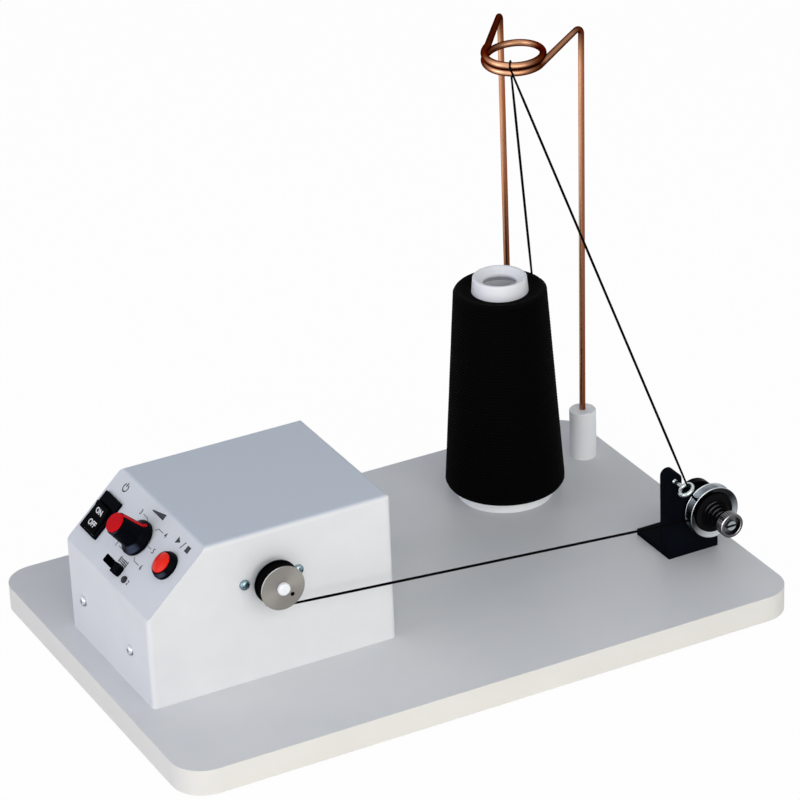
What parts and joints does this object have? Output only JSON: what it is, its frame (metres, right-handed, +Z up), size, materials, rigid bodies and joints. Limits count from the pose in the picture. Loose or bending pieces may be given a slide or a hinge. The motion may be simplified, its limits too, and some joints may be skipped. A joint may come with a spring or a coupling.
{
  "type": "bobbin winder",
  "caption": "Tabletop electric bobbin winder: white control box with spindle and bobbin, thread cone, copper thread mast with coil, and disc tensioner on a board.",
  "frame": {"origin": "middle of the board's footprint, on the surface that the feet stand on", "axes": "+X along the board from the control box to the tensioner, +Y to the back, +Z up"},
  "size_m": [0.4, 0.268, 0.3104],
  "materials": {
    "melamine": "white melamine, fine texture",
    "rubber": "matte",
    "zinc": "blue zinc",
    "housing": "satin white",
    "timber": "raw",
    "nickel": "bright",
    "black_plastic": "satin black",
    "red_plastic": "gloss red",
    "lens": "dark lens",
    "steel": "satin",
    "laminate": "solder mask",
    "white_plastic": "white nylon",
    "bobbin_metal": "turned",
    "thread": "black spun thread",
    "copper": "bright copper wire",
    "black_metal": "satin black",
    "chrome": "polished"
  },
  "bodies": {
    "base": {"base_board": "melamine", "rubber_feet": "rubber", "base_screws": "zinc", "control_housing": "housing", "housing_cleats": "timber", "housing_screws": "nickel", "rocker_body": "black_plastic", "potentiometer": "steel", "pot_nut": "nickel", "start_button_body": "black_plastic", "start_button_nut": "black_plastic", "fill_switch_body": "black_plastic", "fill_lamp": "lens", "circuit_board": "laminate", "board_spacers": "white_plastic", "board_parts": "black_plastic", "power_inlet": "black_plastic", "inlet_nut": "nickel", "motor_can": "steel", "motor_end_cap": "black_plastic", "motor_screws": "zinc", "cone_peg": "white_plastic", "mast_post_left": "white_plastic", "mast_post_right": "white_plastic", "thread_mast": "copper", "tension_bracket": "black_metal", "bracket_screws": "black_metal", "thread_eyelet": "chrome", "tension_stud": "chrome", "tension_bush": "black_plastic", "disc_spacer": "black_plastic", "rear_disc": "chrome", "front_disc": "chrome", "pressure_pad": "black_plastic", "tension_spring": "black_metal", "running_thread": "thread"},
    "spindle": {"motor_shaft": "steel", "spindle": "white_plastic", "bobbin": "bobbin_metal", "bobbin_thread_core": "thread", "bobbin_thread": "thread"},
    "cone": {"cone_tube": "white_plastic", "cone_thread_core": "thread", "cone_thread": "thread"},
    "rocker": {"rocker_paddle": "black_plastic"},
    "speed_knob": {"speed_knob": "black_plastic", "knob_cap": "red_plastic", "pot_shaft": "steel"},
    "start_button": {"start_button_cap": "red_plastic"},
    "fill_slider": {"fill_switch_slider": "black_plastic"},
    "tension_nut": {"tension_nut": "chrome"}
  },
  "joints": [
    {"name": "spindle_spin", "type": "hinge", "parent": "base", "child": "spindle", "pos_m": [-0.107, -0.059, 0.0824], "axis": [0, 1, 0], "continuous": true},
    {"name": "cone_turn", "type": "hinge", "parent": "base", "child": "cone", "pos_m": [0.1135, 0.0645, 0.019], "axis": [0, 0, 1], "continuous": true},
    {"name": "rocker_tilt", "type": "hinge", "parent": "base", "child": "rocker", "pos_m": [-0.16958, 0.0405, 0.09201], "axis": [0, 1, 0], "range_deg": [0, 14]},
    {"name": "speed_turn", "type": "hinge", "parent": "base", "child": "speed_knob", "pos_m": [-0.16287, -0.003, 0.09699], "axis": [-0.6883, 0, 0.7255], "range_deg": [-150, 150]},
    {"name": "start_press", "type": "slide", "parent": "base", "child": "start_button", "axis": [0.6883, 0, -0.7255], "range_m": [0, 0.0025], "stiffness_N_per_m": 600, "springref_m": -0.001},
    {"name": "fill_slide", "type": "slide", "parent": "base", "child": "fill_slider", "axis": [0, 1, 0], "range_m": [0, 0.01]},
    {"name": "tension_turn", "type": "hinge", "parent": "base", "child": "tension_nut", "pos_m": [0.1804, -0.064, 0.0478], "axis": [0, -1, 0], "range_deg": [-180, 180]}
  ]
}
